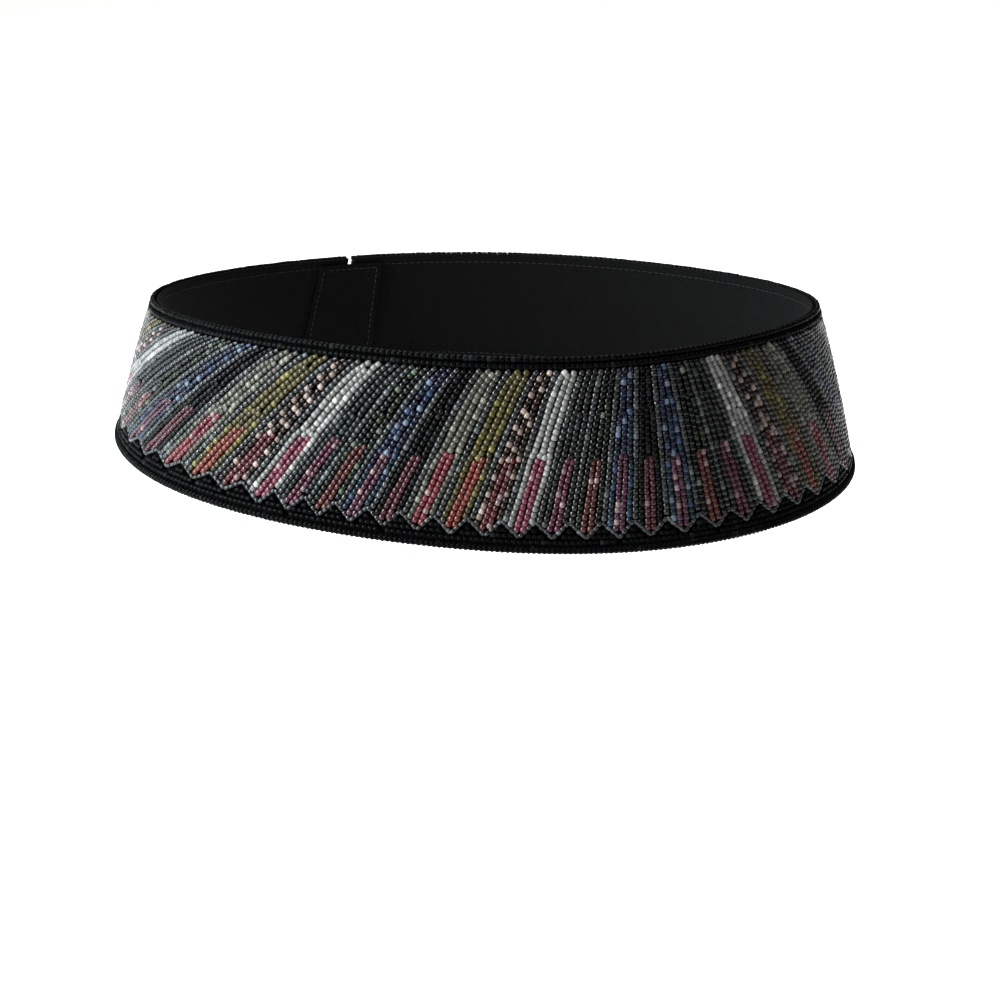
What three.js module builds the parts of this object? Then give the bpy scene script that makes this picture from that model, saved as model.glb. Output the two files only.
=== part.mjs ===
// A wide, shaped hip belt of seed beads sewn on black cloth. It is held as it is when worn and closed:
// a flared loop, deepest at the middle of its pattern, and narrow at the seam on the opposite side.
// Millimetres, +Z up, the front at -Y. The origin is the middle of the waist opening, at its upper edge.

import * as THREE from 'three';

const DEGREE = Math.PI / 180;

// The outer face of the beadwork at the waist edge and at the hip edge: half the width from side to
// side, half the depth from front to back, and how far the loop is drawn in between its four sides.
const waist = { halfWidth: 144, halfDepth: 108.1, drawnIn: 0.035 };
const hip = { halfWidth: 161.1, halfDepth: 123.3, drawnIn: -0.01 };

// The belt sits turned on the hips: the middle of its pattern is this far round from the front.
const PATTERN_TURN = 27 * DEGREE;

// The drop from the waist edge to the hip edge is this at the sides, and so much more or less at the
// middle of the pattern and at the seam.
const DROP = 65.3;
const DROP_SWING = 12.4;

// Between its edges the wall swells this much, as cloth stiff with beads does.
const SWELL = 1;

// The waist edge rides lower on one side, and dips a little in front.
const WAIST_TILT = 1.7;
const DIP_DEPTH = 3.1;
const DIP_PLACE = 20 * DEGREE;
const DIP_WIDTH = 35 * DEGREE;

// Thicknesses of the layers, and diameters of the strings of beads that edge them.
const CLOTH = 1;
const BEADWORK = 2.4;
const WAIST_STRING = 2.5;
const HIP_STRING = 3.2;
const END_STRING = 2.5;
const GAP = 0.3;

// The stripes of the beadwork at the hip edge: their width near the middle of the pattern, for so many
// stripes on each side, and their width beyond them. The V-shaped end of the middle stripe lies this
// far round from the middle at the waist.
const leftStripes = { nearWidth: 13.8, nearCount: 12, farWidth: 17.6 };
const rightStripes = { nearWidth: 15.1, nearCount: 6, farWidth: 17.6 };
const MIDDLE_SHIFT = -6;

// How far the tips and the notches of the V-shaped ends lie above the hip edge, and how far the tips of
// the far stripes on the left do.
const TIP_HEIGHT = 5.2;
const FAR_TIP_HEIGHT = 7;
const NOTCH_HEIGHT = 11.8;

// The opening between the two ends of the belt, and the cloth tab that bridges it behind them.
const SEAM = 3;
const TAB_WIDTH = 36;
const TAB_MARGIN = 2.5;
const TAB_PANELS = 8;

// Sides of a string's section, rows of panels down a layer, the steps that the hip edge is measured in,
// and the narrowest panel along it.
const STRING_SIDES = 8;
const LAYER_ROWS = 2;
const BORDER_ROWS = 1;
const END_STRING_ROWS = 6;
const MEASURING_STEPS = 2880;
const SHORTEST_PANEL = 2;

// Heights of the layers, measured outwards from the outer face of the beadwork.
const BEADWORK_BACK = -BEADWORK;
const CLOTH_FACE = BEADWORK_BACK - GAP;
const CLOTH_BACK = CLOTH_FACE - CLOTH;
const TAB_FACE = CLOTH_BACK - GAP;
const TAB_BACK = TAB_FACE - CLOTH;

// Distances down from the waist edge, and up from the hip edge, to what the strings leave free.
const UPPER_STRING_MIDDLE = WAIST_STRING / 2;
const LOWER_STRING_MIDDLE = UPPER_STRING_MIDDLE + WAIST_STRING + GAP;
const BEADWORK_TOP = LOWER_STRING_MIDDLE + WAIST_STRING / 2 + GAP;
const BORDER_FOOT = HIP_STRING + GAP;
const END_ROOM = END_STRING + 2 * GAP;

// The angle from the front at an angle from the middle of the pattern, between -180 and 180 degrees.
function angleFromFront(turn) {
  return Math.atan2(Math.sin(turn + PATTERN_TURN), Math.cos(turn + PATTERN_TURN));
}

// A point of one edge of the belt: an ellipse, drawn in between its four sides.
function edgePoint(edge, turn, height) {
  const angle = angleFromFront(turn);
  const reach = 1 - edge.drawnIn * Math.sin(2 * angle) ** 2;
  const x = edge.halfWidth * reach * Math.sin(angle);
  const y = -edge.halfDepth * reach * Math.cos(angle);
  return new THREE.Vector3(x, y, height);
}

function waistPoint(turn) {
  const angle = angleFromFront(turn);
  const dip = DIP_DEPTH * Math.exp(-(((angle - DIP_PLACE) / DIP_WIDTH) ** 2));
  return edgePoint(waist, turn, -WAIST_TILT * Math.sin(angle) - dip);
}

function hipPoint(turn) {
  const drop = DROP + DROP_SWING * Math.cos(turn);
  return edgePoint(hip, turn, waistPoint(turn).z - drop);
}

// What a section of the belt needs at one place round the loop: the point on the waist edge, the
// direction down the wall, the direction out of its face, and the wall's length.
function wallAt(turn) {
  const top = waistPoint(turn);
  const wall = hipPoint(turn).sub(top);
  const step = 0.01;
  const before = waistPoint(turn - step).add(hipPoint(turn - step));
  const along = waistPoint(turn + step).add(hipPoint(turn + step)).sub(before);
  const down = wall.clone().normalize();
  const out = new THREE.Vector3().crossVectors(down, along).normalize();
  return { top, down, out, length: wall.length() };
}

// A point so far down the wall and so far out of its face.
function wallPoint(wall, [down, out]) {
  const share = down / wall.length;
  const swell = SWELL * 4 * share * (1 - share);
  return wall.top.clone().addScaledVector(wall.down, down).addScaledVector(wall.out, out + swell);
}

// A closed solid through a row of sections, capped at both ends. Each section has as many corners: first
// those of its back, from the waist down, and then as many of its face, from the hip up. Backs and faces
// are split along the same diagonals, so that layers lie evenly on each other.
function loft(sections) {
  const corners = sections[0].length;
  const positions = sections.flat().flatMap((point) => point.toArray());
  const faces = [];
  for (let row = 0; row + 1 < sections.length; row += 1) {
    for (let corner = 0; corner < corners; corner += 1) {
      const here = row * corners + corner;
      const beside = row * corners + ((corner + 1) % corners);
      const next = here + corners;
      const nextBeside = beside + corners;
      if (corner < corners / 2) faces.push(here, nextBeside, beside, here, next, nextBeside);
      else faces.push(here, next, beside, beside, next, nextBeside);
    }
  }
  const last = (sections.length - 1) * corners;
  for (let corner = 0; corner + 1 < corners / 2; corner += 1) {
    const [back, lowerBack] = [corner, corner + 1];
    const [face, lowerFace] = [corners - 1 - corner, corners - 2 - corner];
    faces.push(back, lowerBack, lowerFace, back, lowerFace, face);
    faces.push(last + back, last + lowerFace, last + lowerBack, last + back, last + face, last + lowerFace);
  }
  const geometry = new THREE.BufferGeometry();
  geometry.setAttribute('position', new THREE.Float32BufferAttribute(positions, 3));
  geometry.setIndex(faces);
  geometry.computeVertexNormals();
  return geometry;
}

// A solid that runs round the belt, with a section worked out for each place along the hip edge.
function sweep(places, sectionAt) {
  return loft(places.map((place) => {
    const wall = wallAt(turnAtHip(place));
    return sectionAt(wall, place).map((corner) => wallPoint(wall, corner));
  }));
}

// The corners of a layer between two distances down the wall and two heights out of its face.
function layer(upper, lower, back, face, rows) {
  const downs = Array.from({ length: rows + 1 }, (_, row) => upper + ((lower - upper) * row) / rows);
  return [...downs.map((down) => [down, back]), ...downs.reverse().map((down) => [down, face])];
}

// The corners of a string's round section, given its middle and its diameter.
function round(middleDown, middleOut, diameter) {
  return Array.from({ length: STRING_SIDES }, (_, side) => {
    const angle = ((side + 0.5) / STRING_SIDES) * 2 * Math.PI;
    const reach = diameter / 2;
    return [middleDown - reach * Math.cos(angle), middleOut - reach * Math.sin(angle)];
  });
}

// The length of the hip edge from the middle of the pattern to each angle, for a loop that way round.
function measureHip(direction) {
  const lengths = [0];
  let last = hipPoint(0);
  for (let step = 1; step <= 2 * MEASURING_STEPS; step += 1) {
    const next = hipPoint((direction * Math.PI * step) / MEASURING_STEPS);
    lengths.push(lengths[step - 1] + next.distanceTo(last));
    last = next;
  }
  return lengths;
}

const hipLengths = { left: measureHip(-1), right: measureHip(1) };

// The angle from the middle of the pattern at a length along the hip edge, to the right if positive.
function turnAtHip(place) {
  const lengths = place < 0 ? hipLengths.left : hipLengths.right;
  const target = Math.abs(place);
  const after = Math.max(1, lengths.findIndex((reached) => reached >= target));
  const share = (target - lengths[after - 1]) / (lengths[after] - lengths[after - 1]);
  return (Math.sign(place) * Math.PI * (after - 1 + share)) / MEASURING_STEPS;
}

// The place on the hip edge of the line that is so many stripes to the right of the middle stripe.
function stripePlace(stripes) {
  const side = stripes < 0 ? leftStripes : rightStripes;
  const count = Math.abs(stripes);
  const near = Math.min(count, side.nearCount);
  return MIDDLE_SHIFT + Math.sign(stripes) * (near * side.nearWidth + (count - near) * side.farWidth);
}

// The corners of the zigzag line of the stripes' ends: their places along the hip edge and their heights
// above it. It runs on past both ends of the belt.
const narrowest = Math.min(leftStripes.nearWidth, rightStripes.nearWidth);
const lastCorner = 2 * Math.ceil(hipLengths.right[MEASURING_STEPS] / narrowest);
const zigzag = [];
for (let corner = -lastCorner; corner <= lastCorner; corner += 1) {
  const stripes = corner / 2;
  const tipHeight = stripes < -leftStripes.nearCount ? FAR_TIP_HEIGHT : TIP_HEIGHT;
  zigzag.push({ place: stripePlace(stripes), height: corner % 2 === 0 ? tipHeight : NOTCH_HEIGHT });
}

function zigzagHeight(place) {
  const after = zigzag.findIndex((corner) => corner.place >= place);
  const [from, to] = [zigzag[after - 1], zigzag[after]];
  return from.height + ((to.height - from.height) * (place - from.place)) / (to.place - from.place);
}

// The steepest stretch of the zigzag widens the gap that is measured straight down.
const steepest = (NOTCH_HEIGHT - TIP_HEIGHT) / (narrowest / 2);
const ZIGZAG_GAP = GAP * Math.hypot(1, steepest);

// The places round the belt where sections stand: the corners of the zigzag, where the beadwork stops
// at each end, and the two ends themselves.
const endPlaces = {
  left: -(hipLengths.left[MEASURING_STEPS] - SEAM / 2),
  right: hipLengths.right[MEASURING_STEPS] - SEAM / 2,
};
const beadworkEnds = { left: endPlaces.left + END_ROOM, right: endPlaces.right - END_ROOM };
const corners = zigzag.map((corner) => corner.place).filter((place) => (
  place > beadworkEnds.left + SHORTEST_PANEL && place < beadworkEnds.right - SHORTEST_PANEL));
const beadworkPlaces = [beadworkEnds.left, ...corners, beadworkEnds.right];
const beltPlaces = [endPlaces.left, ...beadworkPlaces, endPlaces.right];

function lining() {
  return sweep(beltPlaces, (wall) => layer(0, wall.length, CLOTH_BACK, CLOTH_FACE, LAYER_ROWS));
}

function stripedBeadwork() {
  return sweep(beadworkPlaces, (wall, place) => {
    const lower = wall.length - zigzagHeight(place);
    return layer(BEADWORK_TOP, lower, BEADWORK_BACK, 0, LAYER_ROWS);
  });
}

function blackBorder() {
  return sweep(beadworkPlaces, (wall, place) => {
    const upper = wall.length - zigzagHeight(place) + ZIGZAG_GAP;
    return layer(upper, wall.length - BORDER_FOOT, BEADWORK_BACK, 0, BORDER_ROWS);
  });
}

// A string lies on the face of the cloth, as the beadwork does.
function waistString(middleDown) {
  const middleOut = BEADWORK_BACK + WAIST_STRING / 2;
  return sweep(beltPlaces, () => round(middleDown, middleOut, WAIST_STRING));
}

function hipString() {
  const middleOut = BEADWORK_BACK + HIP_STRING / 2;
  return sweep(beltPlaces, (wall) => round(wall.length - HIP_STRING / 2, middleOut, HIP_STRING));
}

// A string down one end edge, from under the strings of the waist to above the string of the hip.
function endString(place) {
  const wall = wallAt(turnAtHip(place));
  const along = new THREE.Vector3().crossVectors(wall.out, wall.down);
  const middleOut = BEADWORK_BACK + END_STRING / 2;
  const length = wall.length - BORDER_FOOT - BEADWORK_TOP;
  return loft(Array.from({ length: END_STRING_ROWS + 1 }, (_, row) => {
    const down = wall.length - BORDER_FOOT - (length * row) / END_STRING_ROWS;
    const middle = wallPoint(wall, [down, middleOut]);
    return round(0, 0, END_STRING).map(([across, out]) => (
      middle.clone().addScaledVector(along, across).addScaledVector(wall.out, out)));
  }));
}

// The tab lies on the back of the lining, across the seam.
function closureTab() {
  const places = Array.from({ length: TAB_PANELS + 1 }, (_, panel) => (
    hipLengths.right[MEASURING_STEPS] - TAB_WIDTH / 2 + (TAB_WIDTH * panel) / TAB_PANELS));
  return sweep(places, (wall) => (
    layer(TAB_MARGIN, wall.length - TAB_MARGIN, TAB_BACK, TAB_FACE, LAYER_ROWS)));
}

const blackCloth = new THREE.MeshStandardMaterial({ color: 0x17161a, roughness: 0.95 });
const blackBeads = new THREE.MeshStandardMaterial({ color: 0x0c0c0e, roughness: 0.25 });
const stripedBeads = new THREE.MeshStandardMaterial({ color: 0x5b5f63, roughness: 0.3 });

function piece(name, geometry, material) {
  const mesh = new THREE.Mesh(geometry, material);
  mesh.name = name;
  return mesh;
}

const belt = new THREE.Group();
belt.add(
  piece('lining', lining(), blackCloth),
  piece('striped_beadwork', stripedBeadwork(), stripedBeads),
  piece('black_border', blackBorder(), blackBeads),
  piece('top_cord_upper', waistString(UPPER_STRING_MIDDLE), blackBeads),
  piece('top_cord_lower', waistString(LOWER_STRING_MIDDLE), blackBeads),
  piece('bottom_cord', hipString(), blackBeads),
  piece('end_cord_left', endString(endPlaces.left + END_ROOM / 2), blackBeads),
  piece('end_cord_right', endString(endPlaces.right - END_ROOM / 2), blackBeads),
  piece('closure_tab', closureTab(), blackCloth),
);

export default belt;
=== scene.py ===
import math

import bpy
import numpy as np
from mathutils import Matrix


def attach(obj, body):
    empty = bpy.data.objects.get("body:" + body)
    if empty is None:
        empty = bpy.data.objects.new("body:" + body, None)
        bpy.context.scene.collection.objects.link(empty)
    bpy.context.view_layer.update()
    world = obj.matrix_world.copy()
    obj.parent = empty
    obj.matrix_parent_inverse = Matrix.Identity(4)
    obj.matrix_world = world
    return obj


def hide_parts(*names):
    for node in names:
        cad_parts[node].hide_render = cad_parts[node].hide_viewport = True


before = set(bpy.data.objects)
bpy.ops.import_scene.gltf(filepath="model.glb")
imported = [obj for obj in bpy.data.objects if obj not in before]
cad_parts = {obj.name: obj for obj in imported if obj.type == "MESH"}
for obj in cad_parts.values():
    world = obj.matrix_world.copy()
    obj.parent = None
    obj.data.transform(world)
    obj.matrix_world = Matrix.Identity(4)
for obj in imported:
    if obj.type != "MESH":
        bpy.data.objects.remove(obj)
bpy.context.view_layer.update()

MM = 0.001


# Lining: the ground of the belt is one band of black woven cotton, cut as a flared strip and turned in
# along both edges. The beads are all sewn to its face, so the form of the whole belt is worked out here.

WAIST = dict(half_width=144 * MM, half_depth=108.1 * MM, drawn_in=0.035)
HIP = dict(half_width=161.1 * MM, half_depth=123.3 * MM, drawn_in=-0.01)
PATTERN_TURN = math.radians(27)
DROP = 65.3 * MM
DROP_SWING = 12.4 * MM
SWELL = 1 * MM
WAIST_TILT = 1.7 * MM
DIP_DEPTH = 3.1 * MM
DIP_PLACE = math.radians(20)
DIP_WIDTH = math.radians(35)
BEADWORK = 2.4 * MM
CLOTH = 1 * MM
GAP = 0.3 * MM
SEAM = 3 * MM
CLOTH_FACE = -BEADWORK - GAP
CLOTH_BACK = CLOTH_FACE - CLOTH
HEM_WIDTH = 5 * MM
HEM_RISE = 0.15 * MM
RIPPLE = 0.12 * MM
RIPPLE_LENGTH = 21 * MM
LINING_STEP = 2 * MM
THREAD_SPACING = 0.9 * MM
SLUB_SIZE = 6 * MM
LINT_SIZE = 0.7 * MM
HEM_STEP = 0.5 * MM
EDGE_SAMPLES = 11521
TURN_STEP = 0.01
CLOTH_STEPS = 31
RIM_SHARES = [0.02, 0.12, 0.3, 0.6, 1]


def edge_points(edge, turn, height):
    """Points of an edge: an ellipse of its half width and half depth, drawn in between its four sides by
    a share that grows with the square of the sine of twice the angle from the front."""
    angle = turn + PATTERN_TURN
    reach = 1 - edge["drawn_in"] * np.sin(2 * angle) ** 2
    x = edge["half_width"] * reach * np.sin(angle)
    y = -edge["half_depth"] * reach * np.cos(angle)
    return np.stack([x, y, height], axis=-1)


def waist_points(turn):
    """The waist edge: it tilts from side to side, and dips beside the front in the form of a bell."""
    angle = turn + PATTERN_TURN
    from_dip = np.arctan2(np.sin(angle), np.cos(angle)) - DIP_PLACE
    height = -WAIST_TILT * np.sin(angle) - DIP_DEPTH * np.exp(-((from_dip / DIP_WIDTH) ** 2))
    return edge_points(WAIST, turn, height)


def hip_points(turn):
    """The hip edge: below the waist edge by a drop that swings once round the belt."""
    return edge_points(HIP, turn, waist_points(turn)[..., 2] - DROP - DROP_SWING * np.cos(turn))


def wall_length(turn):
    """The straight way down the wall, from the waist edge to the hip edge."""
    return np.linalg.norm(hip_points(turn) - waist_points(turn), axis=-1)


def on_wall(turn, down, out):
    """Points so far down the wall and so far out of the face of the beadwork, with the direction out.
    The wall runs straight between its edges, but for a parabola that swells outwards. The direction out
    is square to the way down and to the sum of the two edges' directions along the belt."""
    turn, down, out = np.broadcast_arrays(turn, down, out)
    top = waist_points(turn)
    wall = hip_points(turn) - top
    length = np.linalg.norm(wall, axis=-1)
    down_way = wall / length[..., None]
    after = waist_points(turn + TURN_STEP) + hip_points(turn + TURN_STEP)
    before = waist_points(turn - TURN_STEP) + hip_points(turn - TURN_STEP)
    out_way = np.cross(down_way, after - before)
    out_way /= np.linalg.norm(out_way, axis=-1, keepdims=True)
    share = down / length
    swell = SWELL * 4 * share * (1 - share)
    return top + down_way * down[..., None] + out_way * (out + swell)[..., None], out_way


def measured(edge_line):
    """A table of angles twice round the belt, and the lengths along an edge up to them, with the middle
    of the pattern at nought in both."""
    turns = np.linspace(-2 * math.pi, 2 * math.pi, EDGE_SAMPLES)
    steps = np.linalg.norm(np.diff(edge_line(turns), axis=0), axis=1)
    lengths = np.concatenate([[0], np.cumsum(steps)])
    return turns, lengths - lengths[len(turns) // 2]


waist_turns, waist_lengths = measured(waist_points)
hip_turns, hip_lengths = measured(hip_points)
END_LEFT = np.interp(-math.pi, hip_turns, hip_lengths) + SEAM / 2
END_RIGHT = np.interp(math.pi, hip_turns, hip_lengths) - SEAM / 2


def new_piece(name, points, face_groups, smooth=True):
    """A mesh object from an array of points and arrays of faces, each with its own number of corners."""
    corners = np.concatenate([group.ravel() for group in face_groups])
    sizes = np.concatenate([np.full(len(group), group.shape[1]) for group in face_groups])
    mesh = bpy.data.meshes.new(name)
    mesh.vertices.add(len(points))
    mesh.vertices.foreach_set("co", points.astype(np.float32).ravel())
    mesh.loops.add(len(corners))
    mesh.loops.foreach_set("vertex_index", corners.astype(np.int32))
    mesh.polygons.add(len(sizes))
    mesh.polygons.foreach_set("loop_start", (np.cumsum(sizes) - sizes).astype(np.int32))
    mesh.update(calc_edges=True)
    mesh.polygons.foreach_set("use_smooth", np.full(len(sizes), smooth))
    piece = bpy.data.objects.new(name, mesh)
    bpy.context.scene.collection.objects.link(piece)
    return piece


def set_uv(piece, name, point_uv):
    """Gives each corner of the faces the place in the map that its point has."""
    mesh = piece.data
    corners = np.empty(len(mesh.loops), dtype=np.int32)
    mesh.loops.foreach_get("vertex_index", corners)
    layer = mesh.uv_layers.new(name=name)
    layer.data.foreach_set("uv", point_uv[corners].astype(np.float32).ravel())


def cloth_shell(name, places, upper, lower, back, face, back_relief):
    """A band of cloth round the wall, as a closed shell. Its section goes down the back and up the face,
    and its thickness is rounded off at both edges as a half circle is: the root of one less the square
    of the share of the radius that is left."""
    turn = np.interp(places, hip_lengths, hip_turns)[:, None]
    radius = (face - back) / 2
    rim = radius * np.array(RIM_SHARES)
    height = (lower - upper)[:, None]
    inner = radius + (height - 2 * radius) * np.linspace(0, 1, CLOTH_STEPS)[None, 1:-1]
    upper_rim = np.broadcast_to(rim, (len(places), len(rim)))
    from_top = np.concatenate([upper_rim, inner, height - rim[::-1]], axis=1)
    from_edge = np.minimum(from_top, height - from_top)
    fullness = np.sqrt(1 - (1 - np.minimum(from_edge / radius, 1)) ** 2)
    middle = (face + back) / 2
    back_out = middle - radius * fullness - back_relief(places[:, None], from_edge) * fullness
    face_out = middle + radius * fullness
    down = upper[:, None] + from_top
    ring_down = np.concatenate([down, down[:, ::-1]], axis=1)
    ring_out = np.concatenate([back_out, face_out[:, ::-1]], axis=1)
    points, _ = on_wall(turn, ring_down, ring_out)
    rows, ring = ring_down.shape
    index = np.arange(rows * ring).reshape(rows, ring)
    beside = np.roll(index, -1, axis=1)
    walls = np.stack([index[:-1], index[1:], beside[1:], beside[:-1]], axis=-1).reshape(-1, 4)
    corner = np.arange(ring // 2 - 1)
    first_cap = index[0][np.stack([corner, corner + 1, ring - 2 - corner, ring - 1 - corner], axis=-1)]
    last_cap = index[-1][np.stack([ring - 1 - corner, ring - 2 - corner, corner + 1, corner], axis=-1)]
    piece = new_piece(name, points.reshape(-1, 3), [walls, first_cap, last_cap])
    along = np.broadcast_to(places[:, None], ring_down.shape)
    set_uv(piece, "cloth", np.stack([along, ring_down], axis=-1).reshape(-1, 2))
    return piece


def lining_back(place, from_edge):
    """The turned-in hem stands proud along both edges, and falls off over HEM_STEP.
    The cloth also ripples a little along the belt, as a sine does."""
    hem = HEM_RISE * np.clip((HEM_WIDTH - from_edge) / HEM_STEP, 0, 1)
    return hem + RIPPLE * np.sin(2 * math.pi * place / RIPPLE_LENGTH) * np.cos(place / HEM_WIDTH)


lining_places = np.linspace(END_LEFT, END_RIGHT, int((END_RIGHT - END_LEFT) / LINING_STEP))
lining_turns = np.interp(lining_places, hip_lengths, hip_turns)
lining_length = wall_length(lining_turns)
lining = cloth_shell("lining_cloth", lining_places, 0 * lining_length, lining_length,
                     CLOTH_BACK, CLOTH_FACE, lining_back)


def linear(colour):
    """An sRGB hex colour as linear red, green and blue, with full alpha."""
    parts = [int(colour[start:start + 2], 16) / 255 for start in (1, 3, 5)]
    return [part / 12.92 if part <= 0.04045 else ((part + 0.055) / 1.055) ** 2.4 for part in parts] + [1]


def add(tree, kind, inputs=None, **settings):
    """Adds a node of a kind with its settings. Each named input gets a link from a socket, or a value."""
    node = tree.nodes.new(kind)
    for name, value in settings.items():
        setattr(node, name, value)
    for name, value in (inputs or {}).items():
        if isinstance(value, bpy.types.NodeSocket):
            tree.links.new(value, node.inputs[name])
        else:
            node.inputs[name].default_value = value
    return node


def new_material(name):
    """An empty node material, with the node tree that its surface is built in."""
    material = bpy.data.materials.new(name)
    material.use_nodes = True
    material.node_tree.nodes.clear()
    return material, material.node_tree


def black_woven_cotton():
    """Plain-woven cotton, dyed black. It gives the eye a matt, even black with a faint lint sheen, and a
    fine grid of threads. Its colour is painted a little lighter on the crowns of the threads and in specks
    of lint, a painted sheen, and darker in the hollows between them, a painted shade. The real threads lie
    about 0.4 mm apart, which is too fine to show, so they are drawn at THREAD_SPACING."""
    material, tree = new_material("black_woven_cotton")
    threads = 1 / THREAD_SPACING
    place = add(tree, "ShaderNodeUVMap", uv_map="cloth").outputs["UV"]
    apart = add(tree, "ShaderNodeSeparateXYZ", {"Vector": place})
    waves = []
    for axis in ("X", "Y"):
        turns = add(tree, "ShaderNodeMath", {0: apart.outputs[axis], 1: math.pi * threads},
                    operation="MULTIPLY").outputs[0]
        waves.append(add(tree, "ShaderNodeMath", {0: turns}, operation="SINE").outputs[0])
    crossing = add(tree, "ShaderNodeMath", {0: waves[0], 1: waves[1]}, operation="MULTIPLY").outputs[0]
    over_under = add(tree, "ShaderNodeMath", {0: crossing}, operation="ABSOLUTE").outputs[0]
    slub = add(tree, "ShaderNodeTexNoise", {"Vector": place, "Scale": 1 / SLUB_SIZE, "Detail": 4.0})
    lint = add(tree, "ShaderNodeTexNoise", {"Vector": place, "Scale": 1 / LINT_SIZE, "Detail": 2.0})
    # Painted sheen and shade: lighter on the crowns of the threads and where the lint noise is high, darker
    # between threads.
    painted_sheen_on_crowns = add(tree, "ShaderNodeMath", {0: over_under, 1: lint.outputs["Fac"]},
                operation="MULTIPLY").outputs[0]
    ramp = add(tree, "ShaderNodeValToRGB", {"Fac": painted_sheen_on_crowns})
    ramp.color_ramp.elements[0].color = linear("#010101")
    ramp.color_ramp.elements[1].color = linear("#050505")
    relief = add(tree, "ShaderNodeMath", {0: over_under, 1: slub.outputs["Fac"]}, operation="ADD")
    bump = add(tree, "ShaderNodeBump", {"Height": relief.outputs[0], "Strength": 0.6,
                                        "Distance": 0.15 * MM})
    surface = add(tree, "ShaderNodeBsdfPrincipled",
                  {"Base Color": ramp.outputs["Color"], "Normal": bump.outputs["Normal"],
                   "Roughness": 0.9, "Specular IOR Level": 0.03, "Sheen Weight": 0.003,
                   "Sheen Roughness": 0.5})
    add(tree, "ShaderNodeOutputMaterial", {"Surface": surface.outputs["BSDF"]})
    return material


cotton = black_woven_cotton()
lining.data.materials.append(cotton)
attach(lining, "root")
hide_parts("lining")
middle_line, _ = on_wall(lining_turns, lining_length / 2, CLOTH_FACE)


# Closure tab: a plain underlap of the same black cotton bridges the two ends of the belt from behind.
# It is hemmed all round and stitched to the back of the lining, and the fastening is hidden under it.

TAB_WIDTH = 36 * MM
TAB_MARGIN = 2.5 * MM
TAB_FACE = CLOTH_BACK - GAP
TAB_BACK = TAB_FACE - CLOTH
TAB_STEP = 0.75 * MM
PUCKER = 0.08 * MM
STITCH_PITCH = 3 * MM
STITCH_LENGTH = 2.2 * MM
STITCH_THREAD = 0.4 * MM
STITCH_INSET = 2.5 * MM
STITCH_PROUD = 0.1 * MM
HEM_STITCH_INSET = 1 * MM
PLY = 0.3 * MM
TAB_LINE_STEPS = 40
CLEAR_OF_SIDES = 3


def tab_back(place, from_edge):
    """Puckers beside the line of stitches: a sine with one wave for each stitch, strongest on the line
    and fading away from it as a bell does."""
    beside = np.exp(-(((from_edge - STITCH_INSET) / MM) ** 2))
    return PUCKER * beside * (1 + np.cos(2 * math.pi * place / STITCH_PITCH)) / 2


seam_place = END_RIGHT + SEAM / 2
tab_places = np.linspace(-TAB_WIDTH / 2, TAB_WIDTH / 2, int(TAB_WIDTH / TAB_STEP) + 1) + seam_place
tab_length = wall_length(np.interp(tab_places, hip_lengths, hip_turns))
tab = cloth_shell("tab_cloth", tab_places, TAB_MARGIN + 0 * tab_length, tab_length - TAB_MARGIN,
                  TAB_BACK, TAB_FACE, tab_back)
tab.data.materials.append(cotton)
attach(tab, "root")
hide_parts("closure_tab")


def rod_form(sides, rings):
    """The form of one short rod in a cube of one unit: rings of points about the middle axis, each with
    its place along the rod and its radius as shares. It gives the points as across, along and out, the
    side faces and the two end faces, and a map of the turn and the place along."""
    angle = 2 * math.pi * np.arange(sides) / sides
    place, radius = np.array(rings).T
    across = radius[:, None] * np.cos(angle)
    out = radius[:, None] * np.sin(angle)
    along = np.broadcast_to(place[:, None], across.shape)
    points = np.stack([across, along, out], axis=-1).reshape(-1, 3)
    index = np.arange(len(points)).reshape(len(rings), sides)
    beside = np.roll(index, -1, axis=1)
    walls = np.stack([index[:-1], index[1:], beside[1:], beside[:-1]], axis=-1).reshape(-1, 4)
    ends = np.stack([index[0], index[-1][::-1]])
    turn = np.broadcast_to(angle / (2 * math.pi), across.shape)
    return dict(points=points, faces=[walls, ends], uv=np.stack([turn, along], axis=-1).reshape(-1, 2))


def rods(name, form, laid, smooth=True):
    """One mesh of many short rods, such as beads or stitches. Each point is the rod's middle, plus its
    share across, along and out times the rod's size that way. The direction across is square to the
    other two, and a rod is first spun about its own axis."""
    along = laid["along"] / np.linalg.norm(laid["along"], axis=1, keepdims=True)
    across = np.cross(along, laid["out"])
    across /= np.linalg.norm(across, axis=1, keepdims=True)
    out = np.cross(across, along)
    count = len(along)
    spin = laid.get("spin", np.zeros(count))[:, None]
    size = laid["size"]
    form_across, form_along, form_out = form["points"].T
    spun_across = form_across * np.cos(spin) - form_out * np.sin(spin)
    spun_out = form_across * np.sin(spin) + form_out * np.cos(spin)
    points = (laid["middle"][:, None]
              + (spun_across * size[:, :1])[..., None] * across[:, None]
              + (form_along * size[:, 1:2])[..., None] * along[:, None]
              + (spun_out * size[:, 2:])[..., None] * out[:, None])
    first = (np.arange(count) * len(form["points"]))[:, None, None]
    groups = [(first + group).reshape(-1, group.shape[1]) for group in form["faces"]]
    piece = new_piece(name, points.reshape(-1, 3), groups, smooth)
    set_uv(piece, "round_and_along", np.tile(form["uv"], (count, 1)))
    for key in ("tint", "wear"):
        if key in laid:
            values = np.repeat(laid[key], len(form["points"])).astype(np.float32)
            piece.data.attributes.new(key, "FLOAT", "POINT").data.foreach_set("value", values)
    return piece


# The form of a stitch: round, and pinched where the thread dives into the cloth.
STITCH = rod_form(6, [(-0.5, 0.2), (-0.36, 0.46), (0, 0.5), (0.36, 0.46), (0.5, 0.2)])


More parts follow.
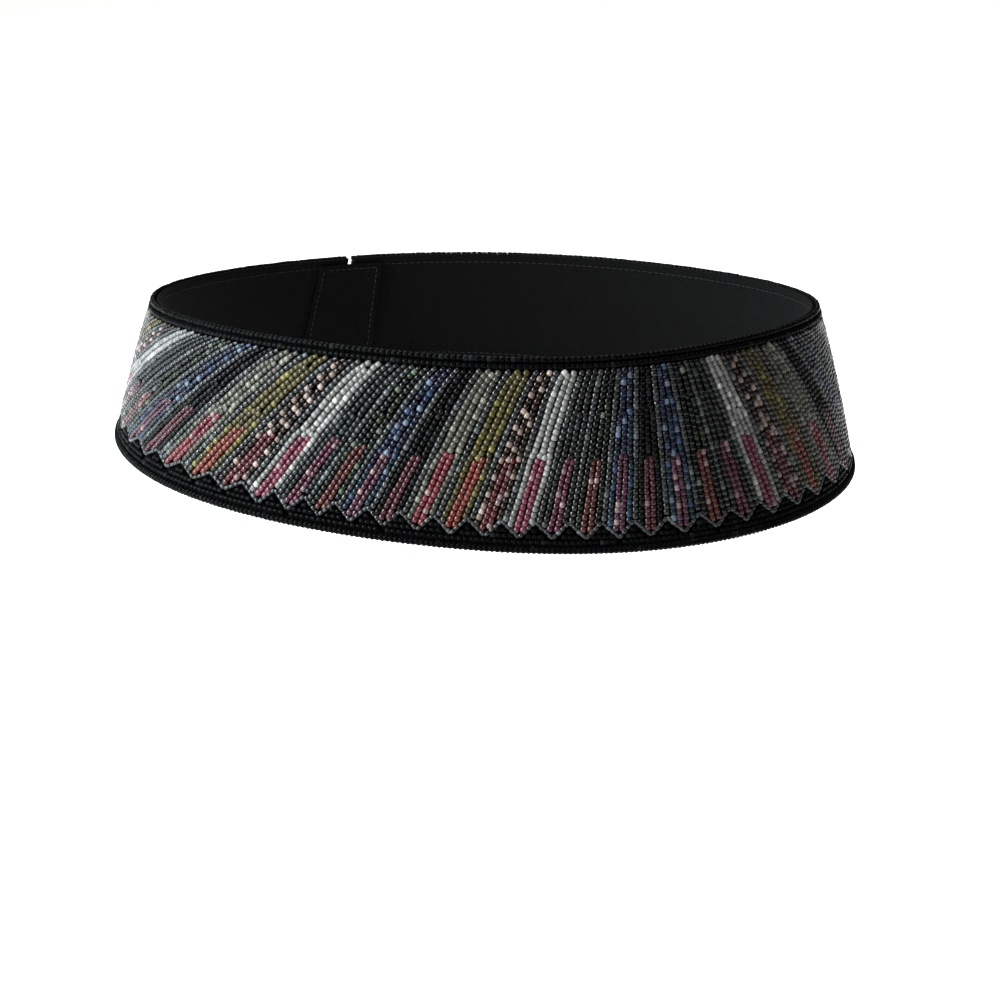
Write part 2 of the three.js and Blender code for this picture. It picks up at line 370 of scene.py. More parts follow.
def stitches(name, lines):
    """Running stitches along lines on the wall, each given by places, ways down and a height out."""
    parts = dict(middle=[], along=[], out=[], size=[])
    for places, down, out in lines:
        line, out_way = on_wall(np.interp(places, hip_lengths, hip_turns), down, out)
        reached = np.concatenate([[0], np.cumsum(np.linalg.norm(np.diff(line, axis=0), axis=1))])
        starts = np.arange(STITCH_PITCH / 2, reached[-1] - STITCH_PITCH / 2, STITCH_PITCH)
        ahead = np.stack([np.interp(starts + STITCH_LENGTH / 2, reached, axis) for axis in line.T], axis=1)
        behind = np.stack([np.interp(starts - STITCH_LENGTH / 2, reached, axis) for axis in line.T], axis=1)
        parts["middle"].append((ahead + behind) / 2)
        parts["along"].append(ahead - behind)
        parts["out"].append(np.stack([np.interp(starts, reached, axis) for axis in out_way.T], axis=1))
        size = np.array([STITCH_THREAD, STITCH_LENGTH, STITCH_THREAD])
        parts["size"].append(np.tile(size, (len(starts), 1)))
    return rods(name, STITCH, {key: np.concatenate(part) for key, part in parts.items()})


def black_sewing_thread():
    """Polyester thread, dyed black and plied. It gives the eye a slight gloss that is broken by the slant
    of its plies, PLY from one to the next. Its colour is painted darker in the grooves between the plies
    and lighter on their crests: painted shade and painted highlight."""
    material, tree = new_material("black_sewing_thread")
    place = add(tree, "ShaderNodeUVMap", uv_map="round_and_along").outputs["UV"]
    plies = STITCH_LENGTH / PLY
    slanted = add(tree, "ShaderNodeVectorMath", {0: place, 1: (2, plies, 0)}, operation="DOT_PRODUCT")
    turns = add(tree, "ShaderNodeMath", {0: slanted.outputs["Value"], 1: 2 * math.pi},
                operation="MULTIPLY").outputs[0]
    ply = add(tree, "ShaderNodeMath", {0: turns}, operation="SINE").outputs[0]
    share = add(tree, "ShaderNodeMapRange", {"Value": ply, "From Min": -1.0}).outputs["Result"]
    # Painted shade: the colour follows the bump, darker in the grooves between the plies, lighter on the
    # crests.
    ramp = add(tree, "ShaderNodeValToRGB", {"Fac": share})
    ramp.color_ramp.elements[0].color = linear("#050506")
    ramp.color_ramp.elements[1].color = linear("#131316")
    bump = add(tree, "ShaderNodeBump", {"Height": ply, "Strength": 0.5, "Distance": 0.05 * MM})
    surface = add(tree, "ShaderNodeBsdfPrincipled",
                  {"Base Color": ramp.outputs["Color"], "Normal": bump.outputs["Normal"],
                   "Roughness": 0.6, "Specular IOR Level": 0.1})
    add(tree, "ShaderNodeOutputMaterial", {"Surface": surface.outputs["BSDF"]})
    return material


thread = black_sewing_thread()
hem_line = HEM_WIDTH - HEM_STITCH_INSET
hem_out = CLOTH_BACK - HEM_RISE - STITCH_PROUD
hem_stitches = stitches("hem_stitches", [
    (lining_places, hem_line + 0 * lining_length, hem_out),
    (lining_places, lining_length - hem_line, hem_out),
])
tab_out = TAB_BACK - PUCKER
tab_low = tab_length - TAB_MARGIN - STITCH_INSET
tab_down = np.linspace(TAB_MARGIN + STITCH_INSET, tab_low[0], TAB_LINE_STEPS)
tab_sides = [edge_place + 0 * tab_down
             for edge_place in (tab_places[0] + STITCH_INSET, tab_places[-1] - STITCH_INSET)]
inside = slice(CLEAR_OF_SIDES, -CLEAR_OF_SIDES)
tab_stitches = stitches("tab_stitches", [
    (tab_places[inside], (TAB_MARGIN + STITCH_INSET) + 0 * tab_places[inside], tab_out),
    (tab_places[inside], tab_low[inside], tab_out),
    (tab_sides[0], tab_down, tab_out),
    (tab_sides[1], tab_down, tab_out),
])
for piece in (hem_stitches, tab_stitches):
    piece.data.materials.append(thread)
    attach(piece, "root")


# Striped beadwork: rows of glass seed beads couched on the cloth, fanning out from the waist. Each stripe
# has a row of pewter beads on its border, rows of its own glass, and two rows of red glass at its end.

WAIST_STRING = 2.5 * MM
HIP_STRING = 3.2 * MM
END_STRING = 2.5 * MM
BEADWORK_TOP = 2 * WAIST_STRING + 2 * GAP
END_ROOM = END_STRING + 2 * GAP
ROW = 2.6 * MM
BEAD_PITCH = 2.4 * MM
BEAD_LENGTH = 2.38 * MM
BEAD_SHARE = 1.05
WIDEST_BEAD = 2.8 * MM
NARROWEST_BEAD = 1.7 * MM
LEFT_STRIPES = dict(near_width=13.8 * MM, near_count=12, far_width=17.6 * MM)
RIGHT_STRIPES = dict(near_width=15.1 * MM, near_count=6, far_width=17.6 * MM)
MIDDLE_SHIFT = -6 * MM
TIP_HEIGHT = 5.2 * MM
FAR_TIP_HEIGHT = 7 * MM
NOTCH_HEIGHT = 11.8 * MM
FAN_STEP = 8 * MM
FAN_GROWTH = 0.115 * MM
FAN_BEND = 0.8
TIP_START = 0.545
LAST_STRIPE = 34
TIP_JITTER = 0.03
ROW_WAVE = 0.012
WAVES = 2.6
ROW_GROWTH = 0.05
ROW_LEAD = 0.01
ROW_SPARE = 0.45
NEVER = 2.0
SHORTEST_LINE = 8
SLANT_SPACING = 3
SLANT_SHARE = 0.8
STRAY_SHARE = 0.2
JITTER = dict(start=0.1, place=0.05 * MM, along=0.035, out=0.04, smallest=0.95, largest=1.02)

# One repeat of the pattern, outwards from its middle: the glass of each stripe, its rows at the waist
# with the border row, and the red of the two rows at its end.
STRIPES = [
    dict(glass="jet", waist_rows=3, red="#220B10"),
    dict(glass="blue", waist_rows=3, red="#23101A"),
    dict(glass="green", waist_rows=3, red="#28100E"),
    dict(glass="gunmetal", waist_rows=3, red="#270E18"),
    dict(glass="white", waist_rows=4, red="#3B1923"),
    dict(glass="brown", waist_rows=3, red="#270B0E"),
    dict(glass="gold", waist_rows=4, red="#38150F"),
    dict(glass="silver", waist_rows=4, red="#391318"),
]

# A few beads of the red rows are painted a pale greyish pink instead, as painted highlight specks on the
# red glass.
PINK_HIGHLIGHT = "#4E3F40"
PINK_HIGHLIGHT_SHARE = 0.08

# The rows that start between the two at a stripe's sides, in their order across it: how many rows have
# to fit, and whether the row is one of the red ones, which start by where the red begins. Counted from
# nought at the first side, the red ones are RED_ROWS.
INNER_ROWS = [
    dict(rows_fit=6.2, is_red=False),
    dict(rows_fit=3, is_red=True),
    dict(rows_fit=4, is_red=True),
    dict(rows_fit=5.2, is_red=False),
]
RED_ROWS = (2, 3)

# The glasses: the colours of most beads, from the waist down, the colours of the brighter beads mixed
# in, their share of the beads, and whether they lie scattered or on slanting lines. In the blue, green,
# jet and gold glasses the brighter beads are painted glints, light caught on the glass painted into the
# beads' colour; in the brown glass they are real cream beads, and in the rest lighter beads at random.
GLASSES = dict(
    jet=dict(most=["#010102", "#020202", "#010202"], light_beads_and_glints=["#090B0C"], share=0.06, slanting=False),
    blue=dict(most=["#050611", "#060C1A", "#051217"], light_beads_and_glints=["#343D49", "#192536"], share=0.24,
              slanting=True),
    green=dict(most=["#010202", "#020403", "#020403"], light_beads_and_glints=["#2F362F", "#0E1508"], share=0.2,
               slanting=True),
    gunmetal=dict(most=["#060808", "#090B0C", "#040606"], light_beads_and_glints=["#181B1C"], share=0.08, slanting=False),
    white=dict(most=["#444544", "#4D4D4D", "#3E3E3D"], light_beads_and_glints=["#626461"], share=0.1, slanting=False),
    brown=dict(most=["#090302", "#0D0502", "#0B0402"], light_beads_and_glints=["#5A504C", "#483E3A"], share=0.33,
               slanting=True),
    gold=dict(most=["#1F1C09", "#28240D", "#191607"], light_beads_and_glints=["#3E3A1C"], share=0.1, slanting=False),
    silver=dict(most=["#262622", "#2E2E29", "#1F1F1B"], light_beads_and_glints=["#43443D"], share=0.1, slanting=False),
    pewter=dict(most=["#0D0E10", "#121416", "#070909"], light_beads_and_glints=["#282C2D"], share=0.1, slanting=False),
)

repeat_rows = sum(stripe["waist_rows"] for stripe in STRIPES)
borders = np.concatenate([[0], np.arange(LAST_STRIPE + 2) + 0.5])
row_counts = [STRIPES[stripe % len(STRIPES)]["waist_rows"] for stripe in range(LAST_STRIPE + 2)]
rows_to_border = np.concatenate([[0], np.cumsum(row_counts) - row_counts[0] / 2])


def waist_place(stripes):
    """Where a line of the fan starts on the waist edge: the rows of the stripes up to it, as stripes of
    equal width, times the first stripe's width, plus a growth with their square."""
    reached = np.interp(np.abs(stripes), borders, rows_to_border) * len(STRIPES) / repeat_rows
    return np.sign(stripes) * (FAN_STEP * reached + FAN_GROWTH * reached ** 2)


def end_place(stripes):
    """Where a line of the fan ends on the hip edge: so many near stripes and then far ones, times their
    widths, to the left or right of the middle stripe."""
    count = np.abs(stripes)
    reached = []
    for side in (LEFT_STRIPES, RIGHT_STRIPES):
        near = np.minimum(count, side["near_count"])
        reached.append(near * side["near_width"] + (count - near) * side["far_width"])
    return MIDDLE_SHIFT + np.where(stripes < 0, -reached[0], reached[1])


def end_height(stripes):
    """Height of the stripes' V-shaped ends over the hip edge: a zigzag from tip to notch and back."""
    from_tip = np.abs(stripes - np.round(stripes)) * 2
    tip = np.where(stripes < -LEFT_STRIPES["near_count"] - 0.5, FAR_TIP_HEIGHT, TIP_HEIGHT)
    return tip + (NOTCH_HEIGHT - tip) * from_tip


# The lines of the fan run to a common foot over the hip edge and on past it, in steps that are shares of
# that way. The row that outlines the zigzag takes the last stretch over it.
LINE_STEPS = 151
LINE_REACH = 1.25
FAN_FOOT = 8.5 * MM
END_ROW = 2 * MM
ZIGZAG_STEPS = 20001
share = np.linspace(0, LINE_REACH, LINE_STEPS)
zigzag_stripes = np.linspace(-LAST_STRIPE, LAST_STRIPE, ZIGZAG_STEPS)
zigzag_places = end_place(zigzag_stripes)


def fan_line(stripes):
    """Points of a line of the fan at the shares of its way down to its foot and on past it, with the
    directions out, the angles, and the heights over the zigzag. Its angle goes from the one at the waist
    to the one at the hip with a power of the share."""
    start = np.interp(waist_place(stripes), waist_lengths, waist_turns)
    finish = np.interp(end_place(stripes), hip_lengths, hip_turns)
    turn = start + (finish - start) * share ** FAN_BEND
    length = wall_length(turn)
    down = BEADWORK_TOP + share * (length - FAN_FOOT - BEADWORK_TOP)
    points, out_way = on_wall(turn, down, -BEADWORK / 2)
    below = np.interp(np.interp(turn, hip_turns, hip_lengths), zigzag_places, zigzag_stripes)
    return points, out_way, turn, length - down - end_height(below)


chance = np.random.default_rng(11)
FIELD_ENDS = (np.interp(END_LEFT + END_ROOM + BEAD_LENGTH / 2, hip_lengths, hip_turns),
              np.interp(END_RIGHT - END_ROOM - BEAD_LENGTH / 2, hip_lengths, hip_turns))
laid_beads = {glass: [] for glass in list(GLASSES) + ["red"]}


def string_beads(line, out_way, turn, place, width, pitch=BEAD_PITCH, length=BEAD_LENGTH,
                 thickness=BEADWORK, ends=FIELD_ENDS):
    """Beads strung along a line, an even pitch apart, where its angle lies between two ends. Each takes
    its middle, its directions, its place and its width from the line where it lies, give or take the
    JITTER of hand work."""
    reached = np.concatenate([[0], np.cumsum(np.linalg.norm(np.diff(line, axis=0), axis=1))])
    count = max(1, round(reached[-1] / pitch))
    shift = chance.uniform(-JITTER["start"], JITTER["start"])
    middles = (np.arange(count) + 0.5 + shift) * reached[-1] / count
    at = [np.interp(middles, reached, value) for value in (turn, width, place)]
    keep = (at[0] > ends[0]) & (at[0] < ends[1])
    middles = middles[keep]
    table = np.concatenate([line, np.gradient(line, axis=0), out_way], axis=1)
    read = np.stack([np.interp(middles, reached, column) for column in table.T], axis=1)
    kept = len(middles)
    jitter = chance.normal(0, 1, (kept, 9))
    along = read[:, 3:6] / np.linalg.norm(read[:, 3:6], axis=1, keepdims=True)
    size = np.stack([at[1][keep], np.full(kept, length), np.full(kept, thickness)], axis=1)
    return dict(middle=read[:, :3] + JITTER["place"] * jitter[:, :3],
                along=along + JITTER["along"] * jitter[:, 3:6],
                out=read[:, 6:] + JITTER["out"] * jitter[:, 6:],
                size=size * chance.uniform(JITTER["smallest"], JITTER["largest"], (kept, 3)),
                spin=chance.uniform(0, math.pi / 4, kept),
                place=at[2][keep],
                number=np.arange(count)[keep])


def pick_colours(glass, beads, row):
    """Gives each bead a tint, the middle of the step of its glass's colours that it takes. Most go down
    the list from the waist, give or take one, and the bright ones lie scattered or on slanting lines. In
    some glasses the bright ones are painted glints, in others real lighter or cream beads."""
    colours = GLASSES[glass]
    count = len(beads["number"])
    most, light_beads_and_glints = len(colours["most"]), len(colours["light_beads_and_glints"])
    drift = beads["place"] * most + chance.uniform(-1, 1, count)
    chosen = np.clip(drift.astype(int), 0, most - 1)
    if colours["slanting"]:
        on_line = (beads["number"] + 2 * row) % SLANT_SPACING == 0
        line_share = colours["share"] * SLANT_SPACING * SLANT_SHARE
        is_light_or_glint = on_line & (chance.uniform(0, 1, count) < line_share)
        is_light_or_glint |= chance.uniform(0, 1, count) < colours["share"] * STRAY_SHARE
    else:
        is_light_or_glint = chance.uniform(0, 1, count) < colours["share"]
    chosen = np.where(is_light_or_glint, most + chance.integers(0, light_beads_and_glints, count), chosen)
    beads["tint"] = (chosen + 0.5) / (most + light_beads_and_glints)
    beads["wear"] = chance.uniform(0, 1, count)
    return beads


def row_starts(rows_fit, tip_start):
    """Where each row of a stripe starts, as a share of the way down. The rows at its two sides run all
    the way. The others start between them as soon as so many rows fit, the two red ones by where the red
    begins, and a row that never fits is left out."""
    starts = [0.0]
    for row in INNER_ROWS:
        fits = np.nonzero(rows_fit >= row["rows_fit"])[0]
        first = share[fits[0]] if len(fits) else NEVER
        starts.append(min(first, tip_start) if row["is_red"] else first)
    return starts + [0.0]


def lay_stripe(stripe):
    """Lays the rows of one stripe. They share its width evenly with the border row. Where a row starts,
    its part of the width grows smoothly from none to full, and the others make room for it."""
    colours = STRIPES[abs(stripe) % len(STRIPES)]
    border, border_out, border_turn, over_zigzag = fan_line(np.full(LINE_STEPS, stripe - 0.5))
    other = fan_line(np.full(LINE_STEPS, stripe + 0.5))[0]
    way = np.gradient((border + other) / 2, axis=0)
    way /= np.linalg.norm(way, axis=1, keepdims=True)
    width = np.linalg.norm(np.cross(other - border, way), axis=1)
    tip_start = TIP_START + chance.uniform(-TIP_JITTER, TIP_JITTER)
    starts = row_starts(width / ROW - 1 + ROW_SPARE, tip_start)
    weights = []
    for start in starts:
        grown = np.clip((share - start) / ROW_GROWTH + 0.5, 0, 1) if start > 0 else np.ones(LINE_STEPS)
        weights.append(grown * grown * (3 - 2 * grown))
    total = 1 + sum(weights)
    bead_width = np.clip(BEAD_SHARE * width / total, NARROWEST_BEAD, WIDEST_BEAD)
    clear = over_zigzag > END_ROW
    edge_beads = string_beads(border[clear], border_out[clear], border_turn[clear], share[clear],
                              bead_width[clear])
    laid_beads["pewter"].append(pick_colours("pewter", edge_beads, 0))
    for row, start in enumerate(starts):
        wave = ROW_WAVE * np.sin(2 * math.pi * (WAVES * share + chance.uniform(0, 1)))
        side = (0.5 + sum(weights[:row]) + weights[row] / 2) / total + wave
        line, out_way, turn, over_zigzag = fan_line(stripe - 0.5 + side)
        laid = (share >= start - ROW_LEAD) & (over_zigzag > END_ROW)
        if laid.sum() < SHORTEST_LINE:
            continue
        beads = string_beads(line[laid], out_way[laid], turn[laid], share[laid], bead_width[laid])
        is_red = (beads["place"] > tip_start) & (row in RED_ROWS)
        beads = pick_colours(colours["glass"], beads, row + stripe)
        plain = {key: value[~is_red] for key, value in beads.items()}
        laid_beads[colours["glass"]].append(plain)
        red = {key: value[is_red] for key, value in beads.items()}
        own_red = np.full(is_red.sum(), abs(stripe) % len(STRIPES))
        # Painted highlight: a few red beads take the pale pink that stands for light caught on them.
        pink_highlight = chance.uniform(0, 1, len(own_red)) < PINK_HIGHLIGHT_SHARE
        red["tint"] = (np.where(pink_highlight, len(STRIPES), own_red) + 0.5) / (len(STRIPES) + 1)
        laid_beads["red"].append(red)


for stripe in range(-LAST_STRIPE, LAST_STRIPE + 1):
    lay_stripe(stripe)

# The zigzag: each V-shaped end is outlined by a row of pewter beads, as many as fit on each side.
OUTLINE_LIFT = 1.2 * MM
OUTLINE_BEAD = 2 * MM
OUTLINE_FILL = 0.96
OUTLINE_STEPS = 25
side_steps = np.linspace(0, 0.5, OUTLINE_STEPS)
for half in range(-2 * LAST_STRIPE, 2 * LAST_STRIPE):
    stripes = half / 2 + side_steps
    turn = np.interp(end_place(stripes), hip_lengths, hip_turns)
    line, out_way = on_wall(turn, wall_length(turn) - end_height(stripes) - OUTLINE_LIFT, -BEADWORK / 2)
    side_length = np.linalg.norm(np.diff(line, axis=0), axis=1).sum()
    pitch = side_length / max(1, round(side_length / BEAD_PITCH))
    beads = string_beads(line, out_way, turn, 0.5 + 0 * turn, np.full(len(line), OUTLINE_BEAD), pitch,
                         pitch * OUTLINE_FILL)
    laid_beads["pewter"].append(pick_colours("pewter", beads, half))


def joined(parts):
    """The beads of several rows as one table."""
    return {key: np.concatenate([part[key] for part in parts]) for key in parts[0]}


def bead_glass(name, colours, roughness, gloss):
    """Seed-bead glass, drawn as a cane, cut and tumbled. Each bead's tint picks one colour of its glass.
    It gives the eye a dark or milky body with a clear gloss on it, and fine lines along the bead that
    are left by the drawing of the cane."""
    material, tree = new_material(name)
    tint = add(tree, "ShaderNodeAttribute", attribute_name="tint").outputs["Fac"]
    wear = add(tree, "ShaderNodeAttribute", attribute_name="wear").outputs["Fac"]
    ramp = add(tree, "ShaderNodeValToRGB", {"Fac": tint})
    ramp.color_ramp.interpolation = "CONSTANT"
    steps = ramp.color_ramp.elements
    for number, colour in enumerate(colours):
        step = steps[number] if number < 2 else steps.new(number / len(colours))
        step.position = number / len(colours)
        step.color = linear(colour)
    light = add(tree, "ShaderNodeMapRange", {"Value": wear, "To Min": 0.75, "To Max": 1.25})
    shaded = add(tree, "ShaderNodeHueSaturation",
                 {"Color": ramp.outputs["Color"], "Value": light.outputs["Result"]})
    place = add(tree, "ShaderNodeUVMap", uv_map="round_and_along").outputs["UV"]
    stretched = add(tree, "ShaderNodeMapping", {"Vector": place, "Scale": (24, 1.5, 1)})
    lines = add(tree, "ShaderNodeTexNoise", {"Vector": stretched.outputs["Vector"], "Scale": 1.0})
    bump = add(tree, "ShaderNodeBump", {"Height": lines.outputs["Fac"], "Strength": 0.25,
                                        "Distance": 0.05 * MM})
    rough = add(tree, "ShaderNodeMapRange",
                {"Value": wear, "To Min": roughness * 0.7, "To Max": roughness * 1.3})
    surface = add(tree, "ShaderNodeBsdfPrincipled",
                  {"Base Color": shaded.outputs["Color"], "Roughness": rough.outputs["Result"],
                   "Normal": bump.outputs["Normal"], "IOR": 1.52, "Specular IOR Level": gloss})
    add(tree, "ShaderNodeOutputMaterial", {"Surface": surface.outputs["BSDF"]})
    return material


# How each glass is finished: its roughness, from fire polish to a duller tumbled surface, and its gloss.
FINISHES = dict(
    jet=dict(material="jet_black_glass", roughness=0.22, gloss=0.06),
    blue=dict(material="silver_lined_blue_glass_with_painted_glints", roughness=0.18, gloss=0.13),
    green=dict(material="dark_green_lustre_glass_with_painted_glints", roughness=0.18, gloss=0.13),
    gunmetal=dict(material="gunmetal_lustre_glass", roughness=0.25, gloss=0.13),
    white=dict(material="opaque_white_glass", roughness=0.28, gloss=0.22),
    brown=dict(material="brown_and_cream_glass", roughness=0.2, gloss=0.15),
    gold=dict(material="olive_gold_lustre_glass_with_painted_glints", roughness=0.25, gloss=0.17),
    silver=dict(material="silver_grey_lustre_glass", roughness=0.25, gloss=0.17),
    pewter=dict(material="pewter_lustre_glass", roughness=0.25, gloss=0.22),
    red=dict(material="colour_lined_red_glass", roughness=0.2, gloss=0.17),
)
# The form of a bead: a short cane with eight sides, rounded a little at both ends.
BEAD = rod_form(8, [(-0.5, 0.36), (-0.37, 0.49), (0.37, 0.49), (0.5, 0.36)])

for glass, finish in FINISHES.items():
    colours = [stripe["red"] for stripe in STRIPES] + [PINK_HIGHLIGHT]
    if glass in GLASSES:
        colours = GLASSES[glass]["most"] + GLASSES[glass]["light_beads_and_glints"]
    beads = rods(f"{glass}_beads", BEAD, joined(laid_beads[glass]))
    glass_material = bead_glass(finish["material"], colours, finish["roughness"], finish["gloss"])
    beads.data.materials.append(glass_material)
    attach(beads, "root")
    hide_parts("striped_beadwork")


# Black border: rows of opaque black beads, parallel to the hip edge, fill the ground below the zigzag.
# They are couched on the cloth like the stripes, and end where the outlined tips reach down to them.

BORDER_FOOT = HIP_STRING + GAP
BORDER_ROW = 2.3 * MM
BORDER_ROWS = 4
BORDER_FILL = 0.98
CLEAR_OF_TIPS = 0.9 * MM
EDGE_STEPS = 4001
BLACK_FINISH = dict(roughness=0.32, gloss=0.02)

hip_line = np.linspace(END_LEFT + END_ROOM, END_RIGHT - END_ROOM, EDGE_STEPS)
border_beads = []
for row in range(BORDER_ROWS):
    height = BORDER_FOOT + (row + 0.5) * BORDER_ROW
    turn = np.interp(hip_line, hip_lengths, hip_turns)
    line, out_way = on_wall(turn, wall_length(turn) - height, -BEADWORK / 2)
    width = np.full(len(line), BORDER_ROW * BORDER_FILL)
    beads = string_beads(line, out_way, turn, hip_line, width)
    zigzag_over = end_height(np.interp(beads["place"], zigzag_places, zigzag_stripes))
    free = zigzag_over - height > CLEAR_OF_TIPS
    beads = {key: value[free] for key, value in beads.items()}
    beads["place"] = np.full(free.sum(), 0.5)
    border_beads.append(pick_colours("jet", beads, row))

# The jet colours include a few painted glints, so the border and the edge strings carry them too.
black_glass = bead_glass("opaque_black_glass", GLASSES["jet"]["most"] + GLASSES["jet"]["light_beads_and_glints"],
                         BLACK_FINISH["roughness"], BLACK_FINISH["gloss"])
border = rods("border_beads", BEAD, joined(border_beads))
border.data.materials.append(black_glass)
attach(border, "root")
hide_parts("black_border")


# Edge strings: two strings of black beads lie side by side along the waist edge, and one runs down each
# end. They are strung on thread and tied down to the cloth between the beads.

END_LINE_STEPS = 60
WHOLE_LINE = (-math.inf, math.inf)

lining_fine = np.linspace(END_LEFT, END_RIGHT, EDGE_STEPS)
fine_turns = np.interp(lining_fine, hip_lengths, hip_turns)
fine_length = wall_length(fine_turns)


def edge_string(name, node, down, turn, diameter):
    """A string of beads along a line down or along the wall, lying on the face of the cloth."""
    line, out_way = on_wall(turn, down, -BEADWORK + diameter / 2)
    width = np.full(len(line), diameter)
    place = np.full(len(line), 0.5)
    beads = string_beads(line, out_way, turn, place, width, thickness=diameter, ends=WHOLE_LINE)
    piece = rods(name, BEAD, pick_colours("jet", beads, 0))
    piece.data.materials.append(black_glass)
    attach(piece, "root")
    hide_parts(node)


edge_string("waist_string_upper", "top_cord_upper", WAIST_STRING / 2, fine_turns, WAIST_STRING)
edge_string("waist_string_lower", "top_cord_lower", WAIST_STRING * 1.5 + GAP, fine_turns, WAIST_STRING)
for side, place in (("left", END_LEFT + END_ROOM / 2), ("right", END_RIGHT - END_ROOM / 2)):
    end_turn = float(np.interp(place, hip_lengths, hip_turns))
    end_down = np.linspace(BEADWORK_TOP, float(wall_length(end_turn)) - BORDER_FOOT, END_LINE_STEPS)
    edge_string(f"end_string_{side}", f"end_cord_{side}", end_down, end_turn + 0 * end_down, END_STRING)


# Hip string: the lower edge is whipped with black beads. Each slanting stitch carries three of them over
# the edge, so that together they make a rolled cord.

WHIP_PITCH = 2.1 * MM
WHIP_SLANT = 0.6 * MM
WHIP_LEAN = 0.45
WHIP_FILL = 0.98
WHIP_BEAD = dict(length=1.9 * MM, diameter=1.7 * MM, smallest=0.96, largest=1.02)
WHIP_ANGLES = [math.radians(angle) for angle in (-62, 0, 62)]

hip_beads = []
whip_radius = (HIP_STRING - WHIP_BEAD["diameter"]) / 2
for step, angle in enumerate(WHIP_ANGLES):
    down = fine_length - HIP_STRING / 2 + whip_radius * math.sin(angle)
    out = -BEADWORK + HIP_STRING / 2 + whip_radius * math.cos(angle)
    line, out_way = on_wall(fine_turns, down, out)
    lower, _ = on_wall(fine_turns, down + MM, out)
    down_way = (lower - line) / MM
    reached = np.concatenate([[0], np.cumsum(np.linalg.norm(np.diff(line, axis=0), axis=1))])
    count = int(reached[-1] / WHIP_PITCH) - 1
    middles = (np.arange(count) + 1) * reached[-1] / (count + 1) + (step - 1) * WHIP_SLANT
    table = np.concatenate([line, down_way, out_way, np.gradient(line, axis=0)], axis=1)
    read = np.stack([np.interp(middles, reached, column) for column in table.T], axis=1)
    edge_way = read[:, 9:] / np.linalg.norm(read[:, 9:], axis=1, keepdims=True)
    round_way = read[:, 3:6] * math.cos(angle) - read[:, 6:9] * math.sin(angle)
    outwards = read[:, 3:6] * math.sin(angle) + read[:, 6:9] * math.cos(angle)
    size = np.array([WHIP_PITCH * WHIP_FILL, WHIP_BEAD["length"], WHIP_BEAD["diameter"]])
    beads = dict(middle=read[:, :3], along=round_way + WHIP_LEAN * edge_way, out=outwards,
                 size=size * chance.uniform(WHIP_BEAD["smallest"], WHIP_BEAD["largest"], (count, 3)),
                 spin=chance.uniform(0, math.pi / 4, count), place=np.full(count, 0.5),
                 number=np.arange(count))
    hip_beads.append(pick_colours("jet", beads, step))

hip_string = rods("hip_string", BEAD, joined(hip_beads))
hip_string.data.materials.append(black_glass)
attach(hip_string, "root")
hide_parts("bottom_cord")


# Studio: a plain white floor. A strong light stands at the front left and a cooler one at the far left, as
# windows do, one hangs high behind, a weak warm one stands at the right, and a wide one shines from above.
# The camera stands where the belt shows as it does when it is worn.

FLOOR_LEVEL = -265 * MM
FLOOR_REACH = 9
CAMERA_PLACE = (6.3 * MM, -1200 * MM, 241 * MM)
CAMERA_PITCH = math.radians(15.48)
LENS = 101.7
SENSOR_WIDTH = 36
GLOW = dict(colour="#FFF3E8", strength=0.08)

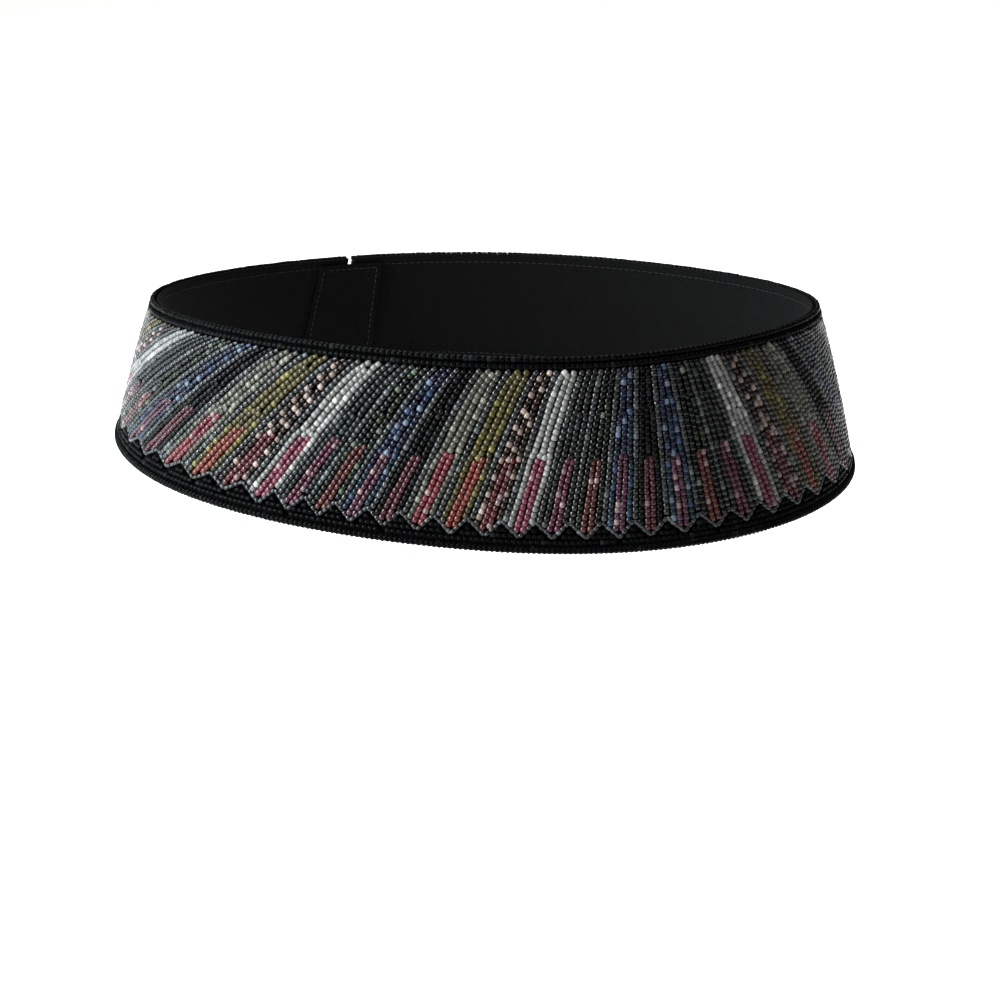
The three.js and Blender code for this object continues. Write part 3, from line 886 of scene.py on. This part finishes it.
floor_corners = np.array([(-1, -1), (1, -1), (1, 1), (-1, 1)]) * FLOOR_REACH
floor_points = np.concatenate([floor_corners, np.full((4, 1), FLOOR_LEVEL)], axis=1)
floor = new_piece("floor", floor_points, [np.arange(4)[None]], smooth=False)
paint, tree = new_material("matt_white_paint")
place = add(tree, "ShaderNodeTexCoord").outputs["Object"]
cloudy = add(tree, "ShaderNodeTexNoise", {"Vector": place, "Scale": 3.0, "Detail": 3.0})
ramp = add(tree, "ShaderNodeValToRGB", {"Fac": cloudy.outputs["Fac"]})
ramp.color_ramp.elements[0].color = linear("#F2F2F2")
ramp.color_ramp.elements[1].color = linear("#FAFAFA")
surface = add(tree, "ShaderNodeBsdfPrincipled", {"Base Color": ramp.outputs["Color"], "Roughness": 0.9})
add(tree, "ShaderNodeOutputMaterial", {"Surface": surface.outputs["BSDF"]})
floor.data.materials.append(paint)

world = bpy.data.worlds.new("studio")
bpy.context.scene.world = world
world.use_nodes = True
background = world.node_tree.nodes["Background"]
background.inputs["Color"].default_value = linear(GLOW["colour"])
background.inputs["Strength"].default_value = GLOW["strength"]

camera = bpy.data.objects.new("camera", bpy.data.cameras.new("camera"))
camera.data.lens = LENS
camera.data.sensor_width = SENSOR_WIDTH
camera.location = CAMERA_PLACE
camera.rotation_euler = (math.pi / 2 - CAMERA_PITCH, 0, 0)
bpy.context.scene.collection.objects.link(camera)
bpy.context.scene.camera = camera

LIGHTS = [
    dict(name="window", place=(-1.33, -0.87, 0.58), power=139, width=0.35, height=1.0,
         colour="#F8FAFA"),
    dict(name="side_window", place=(-1.6, 0.15, 0.5), power=34, width=0.5, height=0.8,
         colour="#C4E8F6"),
    dict(name="back_window", place=(-0.35, 0.75, 1.5), power=40, width=0.7, height=0.7,
         colour="#F8FAFA"),
    dict(name="lamp", place=(1.5, -0.9, 0.5), power=1.6, width=0.8, height=0.8,
         colour="#FFC296"),
]
SKYLIGHT = dict(strength=3.1, spread=math.radians(60))

for row in LIGHTS:
    light = bpy.data.lights.new(row["name"], "AREA")
    light.shape = "RECTANGLE"
    light.energy = row["power"]
    light.size = row["width"]
    light.size_y = row["height"]
    light.color = linear(row["colour"])[:3]
    lamp = bpy.data.objects.new(row["name"], light)
    lamp.location = row["place"]
    aim = np.array(row["place"]) / np.linalg.norm(row["place"])
    lamp.rotation_euler = (math.acos(aim[2]), 0, math.atan2(aim[0], -aim[1]))
    bpy.context.scene.collection.objects.link(lamp)

skylight = bpy.data.lights.new("skylight", "SUN")
skylight.energy = SKYLIGHT["strength"]
skylight.angle = SKYLIGHT["spread"]
bpy.context.scene.collection.objects.link(bpy.data.objects.new("skylight", skylight))

bpy.context.scene.view_settings.view_transform = "Standard"
